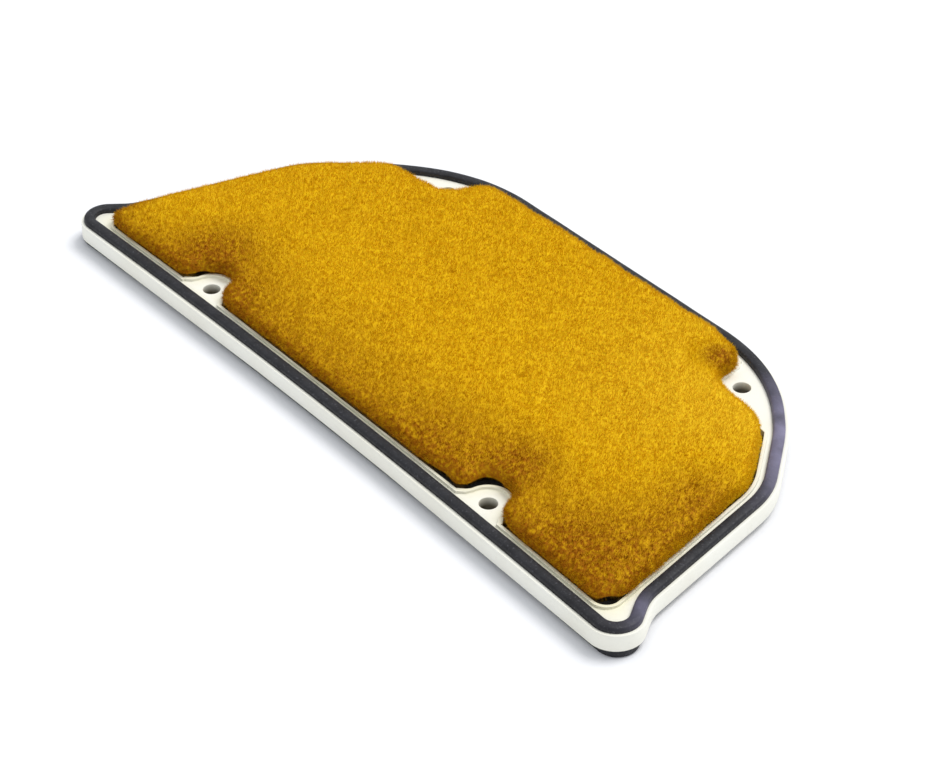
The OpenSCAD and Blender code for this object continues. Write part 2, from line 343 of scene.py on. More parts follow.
def moved_corner(p, m, n, s, t):
    """Corner p of edges with normals m and n, once they have moved out by s and t."""
    return p + np.array([s * n[1] - t * m[1], t * m[0] - s * n[0]]) / cross(m, n)


def arc_centre(p, a, b, r):
    """Centre of the arc of radius r that rounds corner p between its neighbours a and b."""
    u, v = unit(a - p), unit(b - p)
    return p + unit(u + v) * r / math.sqrt((1 - u @ v) / 2)


def arc_points(p, a, b, r, steps):
    """Points along the arc of radius r that rounds corner p between its neighbours a and b."""
    u, v = unit(a - p), unit(b - p)
    reach = r * math.sqrt((1 + u @ v) / (1 - u @ v))
    centre = arc_centre(p, a, b, r)
    first, last = p + u * reach - centre, p + v * reach - centre
    turn = math.atan2(cross(first, last), first @ last)
    angles = turn * np.arange(steps + 1) / steps
    c, s = np.cos(angles), np.sin(angles)
    return centre + np.stack([first[0] * c - first[1] * s, first[0] * s + first[1] * c], 1)


SEAL_W = 3.9
OUTER_LIP_W = 1.1
OPENING_INSET = 4.6
OPENING_CORNER_R = 4.5
# Half the length of the front edge, how far back its middle stands, and the share of it that is
# one wide arc, between straight ends
LOBE_X, FRONT_BOW, BOW_SHARE = 147.9, 2.8, 0.8
BOW_CORNER_Y = FRONT_BOW / (1 - BOW_SHARE / 2)
BOW_R = BOW_SHARE * LOBE_X ** 2 / BOW_CORNER_Y
# Corners of the right half of the upper seal's centre line, from the middle of the front, and
# their roundings
SEAL_CORNERS = [
    (0, BOW_CORNER_Y),
    (LOBE_X, 0),
    (135.4, 17.8),
    (121.4, 80.6),
    (101.5, 104.6),
    (75.9, 126.6),
]
SEAL_RADII = [BOW_R, 6.2, 19.7, 34.0, 59.8, 66.0]
# Pieces of each arc, round the frame and round the opening
ARC_STEPS = [48, 40, 16, 14, 14, 24]
OPENING_STEPS = [48, 10, 14, 14, 24]
# How far the lower seal's outer edge stands out from that centre line, stretch by stretch
LOWER_SEAL_MOVES = [1.7, 1.7, -1.3, -1.3, -1.3, -1.3]
LOWER_SEAL_RADII = [BOW_R, 5.1] + SEAL_RADII[2:]
# The shift that puts the outline where the CAD frame is
BACK_WALL_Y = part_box("upper_frame")[1].y / MM
PLAN_SHIFT = np.array([0.0, BACK_WALL_Y - (SEAL_CORNERS[-1][1] + SEAL_W / 2 + OUTER_LIP_W)])


def loop(half, radii, moves, steps):
    """Closed loop of points, anticlockwise, with each edge moved out by its own distance.

    half holds the right half's corners, and radii, moves and steps go with them."""
    half = [np.array(p, float) for p in half]
    mirror = [np.array([-p[0], p[1]]) for p in reversed(half[1:])]
    sharp = half + mirror
    n = len(sharp)
    full_radii = list(radii) + list(reversed(radii[1:]))
    full_steps = list(steps) + list(reversed(steps[1:]))
    full_moves = [moves[min(i, n - 1 - i)] for i in range(n)]
    moved = [
        moved_corner(sharp[i], outward(sharp[i - 1], sharp[i]),
                     outward(sharp[i], sharp[(i + 1) % n]), full_moves[i - 1], full_moves[i])
        for i in range(n)
    ]
    points = []
    for i in range(n):
        a, b = moved[i - 1], moved[(i + 1) % n]
        bend = np.sign(cross(moved[i] - a, b - moved[i]))
        r = max(1.0, full_radii[i] + bend * full_moves[i])
        points.append(arc_points(moved[i], a, b, r, full_steps[i]))
    return np.concatenate(points) + PLAN_SHIFT


def frame_loop(s):
    """The upper seal's centre line moved out by s."""
    return loop(SEAL_CORNERS, SEAL_RADII, [s] * len(SEAL_CORNERS), ARC_STEPS)


def lower_seal_loop(s):
    """The lower seal's outer edge moved out by s."""
    return loop(SEAL_CORNERS, LOWER_SEAL_RADII, [m + s for m in LOWER_SEAL_MOVES], ARC_STEPS)


def denser(points, longest, also=()):
    """Adds points along long edges of a closed loop, and the same ones to its companions."""
    counts = [max(1, math.ceil(np.linalg.norm(points[(i + 1) % len(points)] - p) / longest))
              for i, p in enumerate(points)]
    made = []
    for ring in (points, *also):
        new = []
        for i, p in enumerate(ring):
            q = ring[(i + 1) % len(ring)]
            new += [p + (q - p) * k / counts[i] for k in range(counts[i])]
        made.append(np.array(new))
    return made


# ---------------------------------------------------------------- mesh helpers

# How close the vertices of a shell, or of a height field, are when they are joined
SHELL_JOIN, FIELD_JOIN = 0.002, 0.001
# Angles in degrees below which a shell's faces are one, above which its edges are rounded, and
# above which those of the copy stay sharp
FLAT_ANGLE, HARD_ANGLE, SHELL_SMOOTH = 1, 30, 28


def new_object(name, vertices_mm, faces, material, smooth=None):
    """A mesh object from points in millimetres. smooth is the angle above which edges stay sharp."""
    mesh = bpy.data.meshes.new(name)
    mesh.from_pydata((np.asarray(vertices_mm) * MM).tolist(), [], faces)
    mesh.validate()
    return finish_mesh(name, mesh, material, smooth)


def finish_mesh(name, mesh, material, smooth=None):
    mesh.update()
    obj = bpy.data.objects.new(name, mesh)
    bpy.context.scene.collection.objects.link(obj)
    mesh.materials.clear()
    mesh.materials.append(material)
    if smooth is not None:
        mesh.shade_smooth()
        mesh.set_sharp_from_angle(angle=math.radians(smooth))
    return obj


def vertex_vectors(mesh, name):
    """A vector of every vertex, such as its co or normal, as rows of an array."""
    values = np.empty(len(mesh.vertices) * 3)
    mesh.vertices.foreach_get(name, values)
    return values.reshape(-1, 3)


def store(obj, name, values):
    """Stores one number for every vertex, which the materials read by its name."""
    attribute = obj.data.attributes.new(name, "FLOAT", "POINT")
    attribute.data.foreach_set("value", np.asarray(values, np.float32))


def settle(obj, slot, *nodes):
    """Fixes a piece to the part's one body, in place of CAD nodes. slot is not used."""
    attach(obj, "root")
    if nodes:
        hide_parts(*nodes)
    return obj


def split_faces(bm, corners):
    """Splits faces with more corners than this into triangles."""
    bmesh.ops.triangulate(bm, faces=[f for f in bm.faces if len(f.verts) > corners])


def rounded_copy(name, node, width, material):
    """A copy of a CAD shell with its hard edges rounded."""
    bm = bmesh.new()
    bm.from_mesh(frame["nodes"][node].data)
    bmesh.ops.remove_doubles(bm, verts=bm.verts, dist=SHELL_JOIN * MM)
    bmesh.ops.dissolve_limit(bm, angle_limit=math.radians(FLAT_ANGLE), verts=bm.verts,
                             edges=bm.edges, use_dissolve_boundaries=False)
    hard = [e for e in bm.edges if e.calc_face_angle(0) > math.radians(HARD_ANGLE)]
    bmesh.ops.bevel(bm, geom=hard, offset=width * MM, offset_type="OFFSET", segments=3,
                    profile=0.5, affect="EDGES", clamp_overlap=True)
    split_faces(bm, 4)
    mesh = bpy.data.meshes.new(name)
    bm.to_mesh(mesh)
    bm.free()
    return finish_mesh(name, mesh, material, SHELL_SMOOTH)


def rework(obj, join=None, corners=None, outwards=False):
    """Joins vertices this close, splits faces with more corners, and turns the faces outwards."""
    bm = bmesh.new()
    bm.from_mesh(obj.data)
    if join:
        bmesh.ops.remove_doubles(bm, verts=bm.verts, dist=join * MM)
    if corners:
        split_faces(bm, corners)
    if outwards:
        bmesh.ops.recalc_face_normals(bm, faces=bm.faces)
    bm.to_mesh(obj.data)
    bm.free()


def tube_faces(rings, count, closed=False):
    """Faces between rings of count points. closed joins the last ring to the first."""
    faces = []
    for j in range(rings if closed else rings - 1):
        after = (j + 1) % rings
        for i in range(count):
            k = (i + 1) % count
            faces.append([j * count + i, j * count + k, after * count + k, after * count + i])
    return faces


def sweep(name, loops, heights, material, smooth):
    """A closed ring of constant section: loops and heights are the section's corners in order."""
    count = len(loops[0])
    vertices = np.concatenate(
        [np.column_stack([ring, np.broadcast_to(h, count)]) for ring, h in zip(loops, heights)])
    faces = tube_faces(len(loops), count, closed=True)
    return new_object(name, vertices, faces, material, smooth)


def wander(points, amount, wavelength):
    """A smooth, repeatable wobble over the plan, at each point."""
    x, y = points[:, 0] / wavelength, points[:, 1] / wavelength
    return amount * (np.sin(2.1 * x + 1.3 * y) + np.sin(3.7 * x - 2.9 * y + 1.0)
                     + np.sin(5.3 * x + 6.1 * y + 2.0)) / 3


def near_places(points, places):
    """For each point, the sum of the places' amounts, fading with distance from each place."""
    total = np.zeros(len(points))
    for place, width, amount in places:
        far2 = ((points - np.array(place)) ** 2).sum(1)
        total += amount * np.exp(-far2 / (2 * (width / 2) ** 2))
    return total


# ---------------------------------------------------------------- frame, seals, sealant

DECK_Z = frame["record"]["mounts"][0]["pos_m"][2] / MM
HOLE_R = frame["record"]["mounts"][0]["dims"]["hole_r_mm"]
# Name, CAD node, rounding of the edges and material of each shell
SHELLS = [
    ("upper_shell", "upper_frame", 0.38, CREAM),
    ("lower_shell", "lower_frame", 0.3, CREAM_INNER),
]
# Strength of the shade painted on the walls of the screw holes, how far below the deck it starts,
# over what depth it comes in, and how far past the hole's radius a vertex still counts as its wall
HOLE_SHADE, HOLE_SHADE_DROP, HOLE_SHADE_FADE, HOLE_SHADE_REACH = 0.95, 0.2, 0.15, 0.6
# Strength of the pad's yellow bounce light painted on the deck, where it starts to fade beside the
# pad, and over what distance
PAD_BOUNCE, PAD_BOUNCE_GAP, PAD_BOUNCE_REACH = 0.8, 0.6, 4.0
# It also fades to this share over this distance in front of this line
PAD_BOUNCE_BACK_SHARE, PAD_BOUNCE_FADE_Y, PAD_BOUNCE_BACK_Y = 0.2, 50, 20
# A vertex this little below the deck is still on it
ON_DECK = 0.1
# Places where a pale sheen is painted on the upper seal, with the width and strength of each
SEAL_SHEEN_PLACES = [
    ((87.0, 59.0), 16.0, 0.30),
    ((102.0, 48.0), 16.0, 0.65),
    ((112.0, 35.0), 16.0, 0.65),
    ((121.0, 20.0), 14.0, 0.30),
    ((139.3, -51.8), 9.0, 0.50),
]
# Rounding of the corners and height of the crown of each seal
UPPER_SEAL_SHAPE = (0.95, 0.16)
LOWER_SEAL_SHAPE = (0.6, 0.06)
# Height and length of the waves along the top of the upper seal
SEAL_WAVE = (0.05, 17.0)
# Longest step along a seal, and the angle in degrees above which its edges stay sharp
SEAL_STEP, SEAL_SMOOTH = 3.0, 50


def screw_places():
    """Centres of the screw holes, from the record's mounts."""
    found = []
    for mount in frame["record"]["mounts"]:
        if mount["kind"] == "bolt_pattern":
            x, y = mount["pos_m"][0] / MM, mount["pos_m"][1] / MM
            half = mount["dims"]["spacing_x_mm"] / 2
            found += [(x - half, y), (x + half, y)]
    return found


def hole_shade_at(co):
    """Strength of the shade painted on the walls of the screw holes."""
    hole_shade = np.zeros(len(co))
    for place in screw_places():
        in_hole = np.linalg.norm(co[:, :2] - np.array(place), axis=1) < HOLE_R + HOLE_SHADE_REACH
        drop = DECK_Z - HOLE_SHADE_DROP - co[in_hole, 2]
        hole_shade[in_hole] = np.clip(drop / HOLE_SHADE_FADE, 0, 1) * HOLE_SHADE
    return hole_shade


def pad_bounce_at(co, pad_edge):
    """Strength of the pad's yellow bounce light painted on the deck beside the pad."""
    out = -distances(co[:, :2], pad_edge)[0]
    spread = np.clip(1 - (out - PAD_BOUNCE_GAP) / PAD_BOUNCE_REACH, 0, 1)
    spread = spread * np.clip((PAD_BOUNCE_BACK_Y - co[:, 1]) / PAD_BOUNCE_FADE_Y, PAD_BOUNCE_BACK_SHARE, 1)
    return PAD_BOUNCE * spread * (co[:, 2] > DECK_Z - ON_DECK) * (out > 0)


def add_shells():
    """The two moulded shells, with shade painted in the screw holes and the pad's yellow bounce
    light painted on the deck.
    """
    pad_edge = outline_of("fibre_pad")
    for name, node, width, material in SHELLS:
        shell = rounded_copy(name, node, width, material)
        co = vertex_vectors(shell.data, "co") / MM
        store(shell, "hole_shade", hole_shade_at(co))
        store(shell, "pad_bounce", pad_bounce_at(co, pad_edge))
        settle(shell, "frame_plastic", node)


def seal_section(half, low, high, corner, crown, steps=5):
    """A seal's section with rounded corners and a crown: offsets from its middle, and heights."""
    right = [(half, low)]
    for k in range(steps + 1):
        a = math.pi / 2 * k / steps
        right.append((half - corner + corner * math.cos(a),
                      high - crown - corner + corner * math.sin(a)))
    right.append((half * 0.3, high - crown * 0.2))
    return right + [(-s, z) for s, z in reversed(right)]


def height_span(node):
    """Heights of a CAD node's foot and top."""
    return (v.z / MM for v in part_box(node))


def add_upper_seal():
    """The upper seal, with slight waves along its top and its painted sheen."""
    low, high = height_span("upper_seal")
    section = seal_section(SEAL_W / 2, low, high, *UPPER_SEAL_SHAPE)
    middle, *loops = denser(frame_loop(0), SEAL_STEP, [frame_loop(s) for s, _ in section])
    lift = wander(middle, *SEAL_WAVE)
    heights = [z + lift * (z > low) for _, z in section]
    seal = sweep("upper_seal_ring", loops, heights, RUBBER, SEAL_SMOOTH)
    store(seal, "painted_sheen", np.clip(near_places(np.concatenate(loops), SEAL_SHEEN_PLACES), 0, 0.9))
    settle(seal, "seal_rubber", "upper_seal")


def add_lower_seal():
    """The lower seal has the upper one's kind of section, upside down."""
    low, high = height_span("lower_seal")
    section = seal_section(SEAL_W / 2, low, high, *LOWER_SEAL_SHAPE)
    section = [(-s, low + high - z) for s, z in section]
    _, *loops = denser(lower_seal_loop(-SEAL_W / 2), SEAL_STEP,
                       [lower_seal_loop(s - SEAL_W / 2) for s, _ in section])
    heights = [z for _, z in section]
    seal = sweep("lower_seal_ring", loops, heights, RUBBER, SEAL_SMOOTH)
    settle(seal, "seal_rubber", "lower_seal")


def coat_sealant():
    """The bead keeps its CAD shape and gets the adhesive's look."""
    materials = frame["nodes"]["edge_sealant"].data.materials
    materials.clear()
    materials.append(SEALANT)


# ---------------------------------------------------------------- outlines of the soft layers

def area_of(outline):
    """Area inside a closed outline, below zero when it runs clockwise."""
    return sum(cross(p, q) for p, q in zip(outline, np.roll(outline, -1, 0))) / 2


def outline_of(node):
    """The outline of a CAD layer's lowest face, anticlockwise, in millimetres."""
    mesh = frame["nodes"][node].data
    co = vertex_vectors(mesh, "co") / MM
    low = co[:, 2].min()
    keys = {}
    index = [keys.setdefault(tuple(np.round(p, 3)), len(keys)) for p in co]
    places = np.array(list(keys))
    mesh.calc_loop_triangles()
    directed = set()
    for triangle in mesh.loop_triangles:
        if all(co[v][2] < low + 0.01 for v in triangle.vertices):
            a, b, c = (index[v] for v in triangle.vertices)
            directed |= {(a, b), (b, c), (c, a)}
    follows = {a: b for a, b in directed if (b, a) not in directed}
    start = next(iter(sorted(follows)))
    chain, at = [start], follows[start]
    while at != start:
        chain.append(at)
        at = follows[at]
    outline = places[chain][:, :2]
    return outline if area_of(outline) > 0 else outline[::-1]


def evenly(outline, spacing):
    """The same closed outline with points at even spacing."""
    steps = np.linalg.norm(np.roll(outline, -1, 0) - outline, axis=1)
    along = np.concatenate([[0], np.cumsum(steps)])
    count = int(along[-1] / spacing)
    at = np.arange(count) * along[-1] / count
    closed = np.vstack([outline, outline[:1]])
    return np.stack([np.interp(at, along, closed[:, k]) for k in (0, 1)], 1)


def normals_of(outline):
    """Outward normal at each point of an anticlockwise outline."""
    d = np.roll(outline, -1, 0) - np.roll(outline, 1, 0)
    return unit_rows(np.stack([d[:, 1], -d[:, 0]], 1))


def softened(outline, rounds):
    """The outline with each point drawn towards its neighbours, this many times."""
    for _ in range(rounds):
        outline = outline / 2 + (np.roll(outline, 1, 0) + np.roll(outline, -1, 0)) / 4
    return outline


def distances(points, outline):
    """Distance of each point inside a closed outline, below zero outside, and the nearest place."""
    ring = evenly(outline, 0.1)
    out = normals_of(ring)
    tree = KDTree(len(ring))
    for k, p in enumerate(ring):
        tree.insert((p[0], p[1], 0), k)
    tree.balance()
    found = np.array([tree.find((x, y, 0))[1] for x, y in points])
    gap = points - ring[found]
    side = -(gap * out[found]).sum(1)
    return np.copysign(np.linalg.norm(gap, axis=1), side), ring[found]


# Share of a cell's width within which a point of a field is moved onto the field's border
BORDER_SHARE = 0.4


def field(outline, spacing):
    """A grid of cells inside an outline, with its border moved onto the outline.

    Returns the plan points, their distances from the outline, and the cells' corners."""
    low, high = outline.min(0) - spacing, outline.max(0) + spacing
    xs = np.arange(low[0], high[0] + spacing, spacing)
    ys = np.arange(low[1], high[1] + spacing, spacing)
    grid = np.stack(np.meshgrid(xs, ys, indexing="ij"), -1).reshape(-1, 2)
    depth, nearest = distances(grid, outline)
    i, j = (k.ravel() for k in np.meshgrid(np.arange(len(xs) - 1), np.arange(len(ys) - 1),
                                           indexing="ij"))
    corner = i * len(ys) + j
    cells = np.stack([corner, corner + len(ys), corner + len(ys) + 1, corner + 1], 1)
    cells = cells[depth[cells].max(1) > BORDER_SHARE * spacing]
    near = depth < BORDER_SHARE * spacing
    grid[near] = nearest[near]
    depth[near] = 0
    used, cells = np.unique(cells, return_inverse=True)
    return grid[used], depth[used], cells.reshape(-1, 4)


def closed_field(name, plan, heights, cells, foot_of, floor_z, material):
    """A height field closed below: its rim goes down to the places that foot_of gives."""
    top = np.column_stack([plan, heights])
    pairs = {(a, b) for cell in cells for a, b in zip(cell, np.roll(cell, -1))}
    rim = {a: b for a, b in sorted(pairs) if (b, a) not in pairs}
    ring = {v: len(top) + k for k, v in enumerate(rim)}
    bottom = np.column_stack([foot_of(plan[list(rim)]), np.full(len(rim), floor_z)])
    faces = cells.tolist() + [[b, a, ring[a], ring[b]] for a, b in rim.items()]
    left = set(rim)
    while left:
        start = min(left)
        left.discard(start)
        chain, at = [start], rim[start]
        while at != start:
            left.discard(at)
            chain.append(at)
            at = rim[at]
        faces.append([ring[v] for v in reversed(chain)])
    obj = new_object(name, np.vstack([top, bottom]), faces, material)
    rework(obj, join=FIELD_JOIN, corners=3, outwards=True)
    obj.data.shade_smooth()
    return obj


# ---------------------------------------------------------------- fibre pad

PAD_LOW_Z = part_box("fibre_pad")[0].z / MM
PAD_TOP_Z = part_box("fibre_pad")[1].z / MM
# Vertices higher than this are above the pad's foot
ABOVE_FOOT_Z = PAD_LOW_Z + 0.01
# Length of the nap's fibres, and how many there are in each piece and along the rim
NAP_H = 1.1
NAP_NAMES = ("pad_nap_a", "pad_nap_b", "pad_nap_c")
NAP_COUNT = 48000
FRINGE_COUNT = 24000
# How far a fibre's root sinks into the body, and a fringe's
NAP_ROOT, FRINGE_ROOT = 0.25, 0.2
# The foot stands this far out from the CAD pad. The rim bulges further out, over the frame's
# lip, at this height, and rounds off over this width
FOOT_REACH = 0.55
BULGE = 1.7
RIM_Z = DECK_Z + 2.1
EDGE_W = 5.0
# Power of the rounded edge's curve: 2 would be an ellipse
EDGE_POWER = 2.2
# Spacing of the outline's points, and how many times they are softened to round its corners
OUTLINE_STEP, CORNER_ROUNDS = 0.7, 22
# Spacing of the body's points, and how rough it is
FIELD_STEP, BODY_ROUGH = 0.8, 0.10
# Height of the body's edge under the top of the CAD pad, and of its crown, which is reached at
# this distance from the outline
EDGE_DROP, CROWN_H, CROWN_W = NAP_H + 1.1, 1.4, 30
# The top falls towards the front and towards the right end, over these widths
FRONT_Y, FRONT_FALL, FRONT_FALL_W = -66.0, 2.8, 42
RIGHT_X, RIGHT_FALL, RIGHT_FALL_W = 140.0, 0.8, 50
# The front of the bulge stands back by this much, in front of this line and over this width
FRONT_SHRINK, SHRINK_Y, SHRINK_W = 0.8, -46, 8
# How many times further the bulge stands back than the foot
BULGE_BACK = 1.6
# Places where the pad stands back from the frame, with the width and depth of each
SET_BACK = [
    ((65.0, -47.5), 7.0, 1.9),
    ((54.0, -55.6), 8.0, 0.7),
    ((129.8, -54.5), 3.6, 1.4),
    ((-84.5, -51.5), 4.0, 1.0),
    ((101.0, 34.5), 5.0, 0.8),
]
# Places where it bulges further out over the frame, or less far, in the same way
BULGES_OUT = [
    ((82.5, -50.5), 6.0, 1.2),
    ((-66.5, -50.5), 6.0, 1.2),
    ((-92.0, 38.0), 14.0, 1.8),
    ((112.0, 18.0), 44.0, -1.8),
    ((115.0, 12.0), 10.0, 0.7),
    ((67.0, 50.0), 9.0, 1.8),
    ((91.5, 40.0), 9.0, 1.0),
    ((61.5, 61.0), 9.0, -1.8),
    ((-133.5, -55.5), 5.0, 2.2),
    ((-87.5, -55.5), 5.0, 1.2),
    ((61.5, -54.5), 5.0, 1.3),
    ((-86.0, 46.0), 10.0, 1.8),
    ((-76.0, 42.0), 12.0, 1.3),
    ((-52.0, 60.0), 32.0, -0.9),
    ((10.0, 60.0), 50.0, -0.3),
    ((-120.0, 12.0), 36.0, -0.9),
]


def pad_outlines():
    """The pad's outline at its foot, inside the frame's lip, and the wider one above the lip."""
    cad = softened(evenly(outline_of("fibre_pad"), OUTLINE_STEP), 3)
    back = near_places(cad, SET_BACK)
    foot = softened(cad + normals_of(cad) * (FOOT_REACH - back)[:, None], 3)
    round_cad = softened(cad, CORNER_ROUNDS)
    reach = FOOT_REACH + BULGE + wander(cad, 0.35, 9.0) + wander(cad[:, ::-1], 0.18, 2.1)
    reach = reach + near_places(cad, BULGES_OUT) - back * BULGE_BACK
    reach -= FRONT_SHRINK * np.clip((SHRINK_Y - cad[:, 1]) / SHRINK_W, 0, 1)
    return foot, softened(round_cad + normals_of(round_cad) * reach[:, None], 3)


def pad_height(plan, depth):
    """Height of the pad's body under the nap."""
    crown = 1 - (1 - np.clip(depth / CROWN_W, 0, 1)) ** 2
    full = PAD_TOP_Z - EDGE_DROP + CROWN_H * crown
    front = 1 - np.clip((plan[:, 1] - FRONT_Y) / FRONT_FALL_W, 0, 1)
    right = 1 - np.clip((RIGHT_X - plan[:, 0]) / RIGHT_FALL_W, 0, 1)
    full -= FRONT_FALL * front ** 2 + RIGHT_FALL * right ** 2
    edge = 1 - np.clip(depth / EDGE_W, 0, 1)
    rise = (1 - edge ** EDGE_POWER) ** (1 / EDGE_POWER)
    lumps = wander(plan, 0.28, 14.0) + wander(plan[:, ::-1], 0.16, 4.5)
    return RIM_Z + (full - RIM_Z) * rise + lumps * rise


# Places where shade is painted on the nap, and light where the strength is below 0, with the width
# and strength of each
NAP_SHADE_AND_LIGHT_PLACES = [
    ((70.0, -37.0), 16.0, 0.55),
    ((-86.0, -43.0), 22.0, 0.55),
    ((-60.0, -52.0), 12.0, 0.30),
    ((112.0, -50.0), 26.0, 0.45),
    ((129.0, -22.0), 26.0, 0.50),
    ((119.0, -4.0), 26.0, 0.55),
    ((46.0, -49.0), 28.0, 0.26),
    ((-116.0, -42.0), 26.0, -0.25),
    ((66.5, 48.5), 11.0, 1.30),
    ((85.0, 42.0), 60.0, -0.40),
]
# Painted shade along the front, over this width, the extra shade painted at the rim there, and the
# light painted at the rim elsewhere
SHADE_FRONT_Y, SHADE_FRONT_W, FRONT_TONE = -64, 42, 0.62
RIM_TONE_W, FRONT_RIM_TONE, RIM_TONE = 3.0, 0.7, -0.12


def tone_of(plan, depth):
    """How much shade is painted on the nap, mostly along the front. Below 0 is painted light."""
    front = 1 - np.clip((plan[:, 1] - SHADE_FRONT_Y) / SHADE_FRONT_W, 0, 1)
    rim = np.exp(-depth / RIM_TONE_W)
    tone = FRONT_TONE * front + rim * (FRONT_RIM_TONE * front + RIM_TONE)
    return np.clip(tone + near_places(plan, NAP_SHADE_AND_LIGHT_PLACES), -1, 1)


def add_pad():
    """The pad's body. Returns it with its points, their distances from its edge, and their tones."""
    foot, outline = pad_outlines()
    plan, depth, cells = field(outline, FIELD_STEP)
    rough = BODY_ROUGH * rng.normal(0, 1, len(plan)) * (depth > 0.5)
    heights = pad_height(plan, depth) + rough

    def foot_of(places):
        inside, nearest = distances(places, foot)
        share = np.clip(inside / 0.3, 0, 1)[:, None]
        return nearest * (1 - share) + places * share

    pad = closed_field("fibre_pad_body", plan, heights, cells, foot_of, PAD_LOW_Z, NAP)
    co = vertex_vectors(pad.data, "co") / MM
    count = len(co)
    inner = np.maximum(distances(co[:, :2], outline)[0], 0)
    # The tone carries painted shade and painted light for the nap and its fibres
    tone = tone_of(co[:, :2], inner)
    # Painted shade: the pad's foot goes near black in the gaps beside the frame
    tone += near_places(co[:, :2], SET_BACK) * (co[:, 2] < PAD_LOW_Z + 0.1)
    store(pad, "strand", np.clip(rng.normal(0.5, 0.16, count), 0, 1))
    store(pad, "tone", tone)
    store(pad, "root_to_tip", np.clip(rng.normal(0.55, 0.1, count), 0, 1))
    settle(pad, "pad_fibre", "fibre_pad")
    return pad, co, inner, tone


def fibres(name, foot, direction, length, width, tone):
    """Closed three-sided spikes that stand for tufts of fibre."""
    n = len(foot)
    side = unit_rows(np.cross(direction, rng.normal(size=(n, 3))))
    other = np.cross(direction, side)
    corners = []
    for k in range(3):
        a = 2 * math.pi * k / 3
        corners.append(foot + (side * math.cos(a) + other * math.sin(a)) * width[:, None])
    corners.append(foot + direction * length[:, None])
    vertices = np.stack(corners, 1).reshape(-1, 3)
    b = np.arange(n)[:, None] * 4
    faces = np.concatenate([b + [0, 1, 3], b + [1, 2, 3], b + [2, 0, 3], b + [0, 2, 1]])
    obj = new_object(name, vertices, faces.tolist(), NAP)
    strand = rng.random(n)
    store(obj, "strand", np.repeat(strand, 4))
    store(obj, "tone", np.repeat(tone, 4))
    store(obj, "root_to_tip", np.tile([0.3, 0.3, 0.3, 1.0], n))
    return settle(obj, "pad_fibre")


def scatter(surface, count, keep):
    """Random places on the pad's body: their positions, normals, depths and tones."""
    pad, co, inner, tone = surface
    pad.data.calc_loop_triangles()
    corners = np.empty(len(pad.data.loop_triangles) * 3, np.int64)
    pad.data.loop_triangles.foreach_get("vertices", corners)
    corners = corners.reshape(-1, 3)
    normal = vertex_vectors(pad.data, "normal")
    corners = corners[keep(co[corners], inner[corners].mean(1))]
    a, b, c = (co[corners[:, k]] for k in range(3))
    area = np.linalg.norm(np.cross(b - a, c - a), axis=1)
    pick = corners[rng.choice(len(corners), count, p=area / area.sum())]
    u, v = rng.random(count), rng.random(count)
    over = u + v > 1
    u[over], v[over] = 1 - u[over], 1 - v[over]
    share = np.stack([1 - u - v, u, v], 1)
    at = (co[pick] * share[..., None]).sum(1)
    up = unit_rows((normal[pick] * share[..., None]).sum(1))
    return at, up, (inner[pick] * share).sum(1), (tone[pick] * share).sum(1)


def add_nap(surface, name, count):
    """Short fibres all over the pad's body, in swirls, and shorter beside the gaps."""
    at, up, inner, tone = scatter(surface, count, lambda p, _: p[..., 2].min(1) > ABOVE_FOOT_Z)
    sway = np.stack([wander(at, 0.30, 11.0), wander(at[:, [1, 0, 2]], 0.30, 8.0)], 1)
    lean = rng.normal(0, 0.33, (count, 3))
    lean[:, :2] += sway
    direction = unit_rows(up + np.array([0, 0, 0.25]) + lean)
    gap = near_places(at[:, :2], SET_BACK) * np.exp(-inner / 0.7)
    length = NAP_H * (0.7 + 0.8 * rng.random(count) ** 1.5) * np.clip(1 - gap, 0.4, 1)
    width = 0.08 + 0.05 * rng.random(count)
    fibres(name, at - up * NAP_ROOT, direction, length + NAP_ROOT, width, tone)


def add_fringe(surface, count):
    """Longer, finer fibres along the rim, which reach over the lip."""
    at, up, _, tone = scatter(
        surface, count, lambda p, depth: (p[..., 2].min(1) > ABOVE_FOOT_Z) & (depth < 2.0))
    direction = unit_rows(up + rng.normal(0, 0.38, (count, 3)) + np.array([0, 0, 0.15]))
    gap = near_places(at[:, :2], SET_BACK)
    length = (1.0 + 0.8 * rng.random(count) ** 2) * np.clip(1 - gap, 0.2, 1)
    width = np.full(count, 0.07)
    fibres("pad_fringe", at - up * FRINGE_ROOT, direction, length, width, 0.8 * tone)


# ---------------------------------------------------------------- inner layers

WIRE_PITCH = 2.4
WIRE_R = 0.15
WIRE_SIDES = 6
# The wires end this far past the edge of the opening, stop this far from the middle of each
# screw hole, and are left out where they would be shorter than this
SCREEN_TUCK = 0.8
BOSS_GAP_R = 6.9
SHORTEST_WIRE = 1.0
# Thickness of the scrim, and depth of its waves over four wires
SCRIM_T, SCRIM_WAVE = 0.32, 0.08
SCRIM_STEP = 2.4
# Spacing of the points along the outlines of the scrim and the felt
SOFT_STEP = 1.2


def opening_outline(s):
    """The edge of the frame's opening moved out by s, without the lugs."""
    corners = [np.array(p, float) for p in SEAL_CORNERS]
    front, flank = corners[1] - corners[0], corners[3] - corners[2]
    reach = cross(corners[2] - corners[0], flank) / cross(front, flank)
    half = [corners[0], corners[0] + front * reach, *corners[3:]]
    radii = [BOW_R, OPENING_CORNER_R + OPENING_INSET, *SEAL_RADII[3:]]
    return loop(half, radii, [s - OPENING_INSET] * len(half), OPENING_STEPS)


